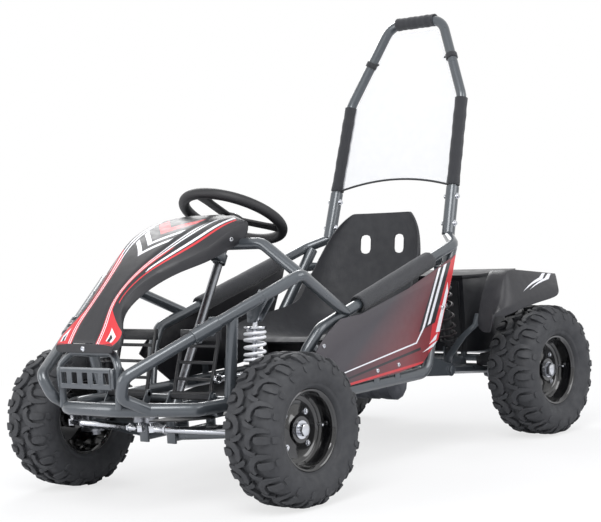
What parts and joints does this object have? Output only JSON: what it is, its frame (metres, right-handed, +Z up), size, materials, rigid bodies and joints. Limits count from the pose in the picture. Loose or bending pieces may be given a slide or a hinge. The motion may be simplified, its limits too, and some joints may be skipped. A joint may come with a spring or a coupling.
{
  "type": "electric go-kart",
  "caption": "Off-road electric go-kart: bolted tube frame with roll bar, bucket seat, steered front wheels on sprung arms and a chain-driven rear swing unit.",
  "frame": {"origin": "on the ground under the middle of the kart's box", "axes": "+Z up, +Y towards the rear, so the kart drives towards -Y, and +X towards its left side"},
  "size_m": [0.895, 1.5362, 1.193],
  "materials": {
    "frame_paint": "gloss",
    "floor_paint": "satin",
    "net_mesh": "matte",
    "cowl_plastic": "satin",
    "seat_plastic": "matte",
    "pad_fabric": "matte",
    "panel_plastic": "satin",
    "chrome_parts": "polished",
    "front_coil": "gloss",
    "rear_coil": "gloss",
    "shock_body": "satin",
    "bare_steel": "satin",
    "wheel_grip": "satin",
    "pedal_paint": "satin",
    "tyre_rubber": "matte",
    "rim_paint": "gloss",
    "motor_metal": "satin",
    "box_paint": "satin",
    "cell_wrap": "satin",
    "fender_plastic": "satin"
  },
  "bodies": {
    "chassis": {"lower_frame": "frame_paint", "dash_hoop": "frame_paint", "bumper_guard": "frame_paint", "floor_pan": "floor_paint", "roll_bar": "frame_paint", "safety_net": "net_mesh", "nose_cowl": "cowl_plastic", "seat_shell": "seat_plastic", "side_rail_left": "frame_paint", "side_rail_right": "frame_paint", "armrest_rail_left": "frame_paint", "armrest_rail_right": "frame_paint", "armrest_pad_left": "pad_fabric", "armrest_pad_right": "pad_fabric", "side_panel_left": "panel_plastic", "side_panel_right": "panel_plastic", "front_shock_rod_left": "chrome_parts", "front_shock_rod_right": "chrome_parts", "rear_shock_rod_left": "chrome_parts", "rear_shock_rod_right": "chrome_parts", "front_spring_left": "front_coil", "front_spring_right": "front_coil", "rear_spring_left": "rear_coil", "rear_spring_right": "rear_coil"},
    "steering": {"steering_column": "bare_steel", "steering_wheel": "wheel_grip"},
    "brake_lever": {"brake_pedal": "pedal_paint"},
    "throttle_lever": {"throttle_pedal": "pedal_paint"},
    "brake_plunger": {"brake_rod": "chrome_parts"},
    "front_arm_left": {"a_arm_left": "frame_paint"},
    "steer_knuckle_left": {"knuckle_left": "bare_steel"},
    "steer_link_left": {"tie_rod_left": "chrome_parts"},
    "front_wheel_left": {"front_tyre_left": "tyre_rubber", "front_rim_left": "rim_paint"},
    "front_shock_left": {"front_shock_body_left": "shock_body"},
    "rear_shock_left": {"rear_shock_body_left": "shock_body"},
    "front_arm_right": {"a_arm_right": "frame_paint"},
    "steer_knuckle_right": {"knuckle_right": "bare_steel"},
    "steer_link_right": {"tie_rod_right": "chrome_parts"},
    "front_wheel_right": {"front_tyre_right": "tyre_rubber", "front_rim_right": "rim_paint"},
    "front_shock_right": {"front_shock_body_right": "shock_body"},
    "rear_shock_right": {"rear_shock_body_right": "shock_body"},
    "rear_arm": {"swing_arm": "frame_paint", "motor": "motor_metal", "drive_chain": "bare_steel", "battery_box": "box_paint", "battery_pack": "cell_wrap", "brake_caliper": "pedal_paint", "fender_left": "fender_plastic", "fender_right": "fender_plastic"},
    "box_lid": {"battery_lid": "box_paint"},
    "axle": {"rear_axle": "bare_steel", "brake_disc": "bare_steel", "axle_sprocket": "bare_steel", "rear_tyre_left": "tyre_rubber", "rear_tyre_right": "tyre_rubber", "rear_rim_left": "rim_paint", "rear_rim_right": "rim_paint"},
    "motor_drive": {"motor_sprocket": "bare_steel"}
  },
  "joints": [
    {"name": "steering_turn", "type": "hinge", "parent": "chassis", "child": "steering", "pos_m": [0, -0.26825, 0.559], "axis": [0, 0.4981, 0.8671], "range_deg": [-16, 16]},
    {"name": "brake_press", "type": "hinge", "parent": "chassis", "child": "brake_lever", "pos_m": [0, -0.51125, 0.252], "axis": [1, 0, 0], "range_deg": [0, 14], "stiffness_Nm_per_rad": 4, "springref_deg": -17.19},
    {"name": "throttle_press", "type": "hinge", "parent": "chassis", "child": "throttle_lever", "pos_m": [0, -0.51125, 0.252], "axis": [1, 0, 0], "range_deg": [0, 18], "stiffness_Nm_per_rad": 4, "springref_deg": -17.19},
    {"name": "brake_plunge", "type": "slide", "parent": "chassis", "child": "brake_plunger", "axis": [0, -1, 0], "range_m": [0, 0.0105]},
    {"name": "front_arm_swing_left", "type": "hinge", "parent": "chassis", "child": "front_arm_left", "pos_m": [0.045, -0.46125, 0.155], "axis": [0, -1, 0], "range_deg": [-3.5, 3.5], "stiffness_Nm_per_rad": 686, "springref_deg": -6.88},
    {"name": "knuckle_steer_left", "type": "hinge", "parent": "front_arm_left", "child": "steer_knuckle_left", "pos_m": [0.29, -0.46125, 0.1775], "axis": [0, 0, 1], "range_deg": [-17, 17]},
    {"name": "steer_link_turn_left", "type": "hinge", "parent": "steer_knuckle_left", "child": "steer_link_left", "pos_m": [0.29, -0.53836, 0.178], "axis": [0, 0, 1], "range_deg": [-17, 17]},
    {"name": "front_wheel_roll_left", "type": "hinge", "parent": "steer_knuckle_left", "child": "front_wheel_left", "pos_m": [0.3715, -0.46125, 0.1775], "axis": [1, 0, 0], "continuous": true},
    {"name": "front_shock_slide_left", "type": "slide", "parent": "chassis", "child": "front_shock_left", "axis": [0, 0.0967, 0.9953], "range_m": [-0.013, 0.013], "deforming": ["front_spring_left"]},
    {"name": "front_arm_swing_right", "type": "hinge", "parent": "chassis", "child": "front_arm_right", "pos_m": [-0.045, -0.46125, 0.155], "axis": [0, 1, 0], "range_deg": [-3.5, 3.5], "stiffness_Nm_per_rad": 686, "springref_deg": -6.88},
    {"name": "knuckle_steer_right", "type": "hinge", "parent": "front_arm_right", "child": "steer_knuckle_right", "pos_m": [-0.29, -0.46125, 0.1775], "axis": [0, 0, 1], "range_deg": [-17, 17]},
    {"name": "steer_link_turn_right", "type": "hinge", "parent": "steer_knuckle_right", "child": "steer_link_right", "pos_m": [-0.29, -0.53836, 0.178], "axis": [0, 0, 1], "range_deg": [-17, 17]},
    {"name": "front_wheel_roll_right", "type": "hinge", "parent": "steer_knuckle_right", "child": "front_wheel_right", "pos_m": [-0.3715, -0.46125, 0.1775], "axis": [1, 0, 0], "continuous": true},
    {"name": "front_shock_slide_right", "type": "slide", "parent": "chassis", "child": "front_shock_right", "axis": [0, 0.0967, 0.9953], "range_m": [-0.013, 0.013], "deforming": ["front_spring_right"]},
    {"name": "rear_arm_swing", "type": "hinge", "parent": "chassis", "child": "rear_arm", "pos_m": [0, 0.34675, 0.205], "axis": [1, 0, 0], "range_deg": [-4, 4], "stiffness_Nm_per_rad": 464, "springref_deg": -6.88},
    {"name": "rear_shock_slide_left", "type": "slide", "parent": "chassis", "child": "rear_shock_left", "axis": [0, -0.0893, 0.996], "range_m": [-0.0082, 0.0082], "deforming": ["rear_spring_left"]},
    {"name": "rear_shock_slide_right", "type": "slide", "parent": "chassis", "child": "rear_shock_right", "axis": [0, -0.0893, 0.996], "range_m": [-0.0082, 0.0082], "deforming": ["rear_spring_right"]},
    {"name": "rear_axle_roll", "type": "hinge", "parent": "rear_arm", "child": "axle", "pos_m": [0, 0.58875, 0.1775], "axis": [1, 0, 0], "continuous": true},
    {"name": "motor_drive_roll", "type": "hinge", "parent": "rear_arm", "child": "motor_drive", "pos_m": [0, 0.46575, 0.146], "axis": [1, 0, 0], "continuous": true},
    {"name": "box_lid_open", "type": "hinge", "parent": "rear_arm", "child": "box_lid", "pos_m": [0, 0.76375, 0.436], "axis": [-1, 0, 0], "range_deg": [0, 100]}
  ],
  "couplings": [
    {"joint": "brake_plunge", "follows": "brake_press", "m_per_rad": 0.041},
    {"joint": "knuckle_steer_left", "follows": "steering_turn", "ratio": 1},
    {"joint": "steer_link_turn_left", "follows": "steering_turn", "ratio": -1},
    {"joint": "front_shock_slide_left", "follows": "front_arm_swing_left", "m_per_rad": 0.202},
    {"joint": "knuckle_steer_right", "follows": "steering_turn", "ratio": 1},
    {"joint": "steer_link_turn_right", "follows": "steering_turn", "ratio": -1},
    {"joint": "front_shock_slide_right", "follows": "front_arm_swing_right", "m_per_rad": 0.202},
    {"joint": "rear_shock_slide_left", "follows": "rear_arm_swing", "m_per_rad": 0.112},
    {"joint": "rear_shock_slide_right", "follows": "rear_arm_swing", "m_per_rad": 0.112},
    {"joint": "motor_drive_roll", "follows": "rear_axle_roll", "ratio": 2.6667}
  ]
}
